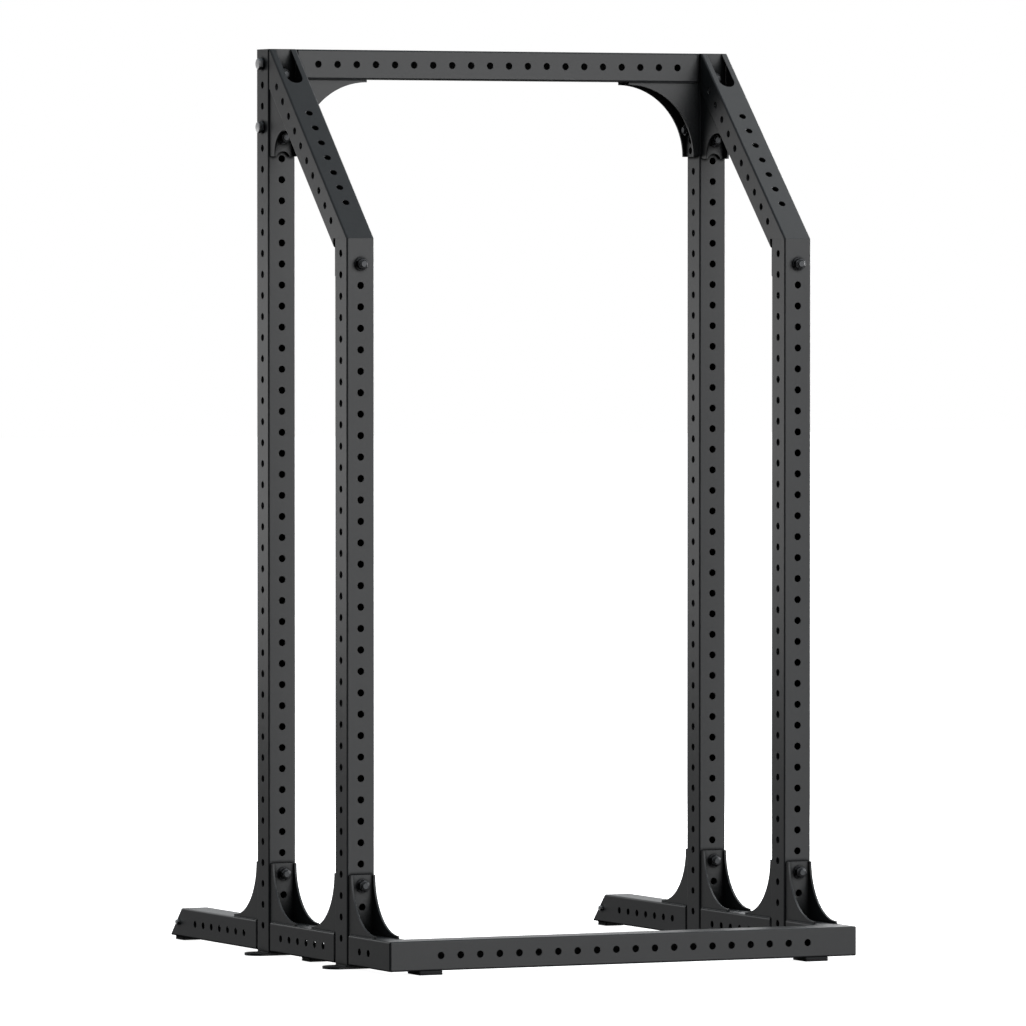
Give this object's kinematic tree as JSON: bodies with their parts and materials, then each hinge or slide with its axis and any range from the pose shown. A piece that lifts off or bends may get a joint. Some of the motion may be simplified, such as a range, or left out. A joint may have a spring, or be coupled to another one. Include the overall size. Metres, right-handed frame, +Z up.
{
  "type": "power cage",
  "caption": "Open power cage of punched square steel uprights with two sloping top arms, a rear crossbeam and a U-shaped base, bolted through gusseted end plates.",
  "frame": {"origin": "middle of the footprint on the floor, the bottom centre of the bounding box", "axes": "+Z up; -Y the open front, where the U-shaped base has its cross tube; +X to the right seen from the front"},
  "size_m": [1.3, 1.305, 2.155],
  "materials": {
    "frame_paint": "fine-textured satin anthracite powder coat",
    "fastener_steel": "zinc plated, slightly dulled",
    "rubber": "matt black moulded rubber",
    "black_plastic": "fine-grained black moulded plastic"
  },
  "bodies": {
    "root": {"arm_bolts": "fastener_steel", "arm_nuts": "fastener_steel", "arm_washers": "fastener_steel", "base_bolts": "fastener_steel", "base_nuts": "fastener_steel", "base_washers": "fastener_steel", "crossbeam_bolts": "fastener_steel", "crossbeam_left_end_plate": "frame_paint", "crossbeam_left_gussets": "frame_paint", "crossbeam_nuts": "fastener_steel", "crossbeam_right_end_plate": "frame_paint", "crossbeam_right_gussets": "frame_paint", "crossbeam_tube": "frame_paint", "crossbeam_washers": "fastener_steel", "front_cross_pads": "rubber", "front_cross_tube": "frame_paint", "left_arm_end_plate": "frame_paint", "left_arm_gussets": "frame_paint", "left_arm_lap_plate": "frame_paint", "left_arm_tube": "frame_paint", "left_front_foot_plate": "frame_paint", "left_front_stub": "frame_paint", "left_front_stub_end_plate": "frame_paint", "left_front_stub_gussets": "frame_paint", "left_front_upright": "frame_paint", "left_mid_rail": "frame_paint", "left_mid_rail_front_end_plate": "frame_paint", "left_mid_rail_front_gussets": "frame_paint", "left_mid_rail_rear_end_plate": "frame_paint", "left_mid_rail_rear_gussets": "frame_paint", "left_rear_foot": "frame_paint", "left_rear_foot_end_plate": "frame_paint", "left_rear_foot_gussets": "frame_paint", "left_rear_foot_plate": "frame_paint", "left_rear_upright": "frame_paint", "mid_rail_pads": "rubber", "plug_screws": "fastener_steel", "rear_foot_pads": "rubber", "rear_foot_plugs": "black_plastic", "right_arm_end_plate": "frame_paint", "right_arm_gussets": "frame_paint", "right_arm_lap_plate": "frame_paint", "right_arm_tube": "frame_paint", "right_front_foot_plate": "frame_paint", "right_front_stub": "frame_paint", "right_front_stub_end_plate": "frame_paint", "right_front_stub_gussets": "frame_paint", "right_front_upright": "frame_paint", "right_mid_rail": "frame_paint", "right_mid_rail_front_end_plate": "frame_paint", "right_mid_rail_front_gussets": "frame_paint", "right_mid_rail_rear_end_plate": "frame_paint", "right_mid_rail_rear_gussets": "frame_paint", "right_rear_foot": "frame_paint", "right_rear_foot_end_plate": "frame_paint", "right_rear_foot_gussets": "frame_paint", "right_rear_foot_plate": "frame_paint", "right_rear_upright": "frame_paint", "upright_caps": "black_plastic"}
  },
  "joints": []
}
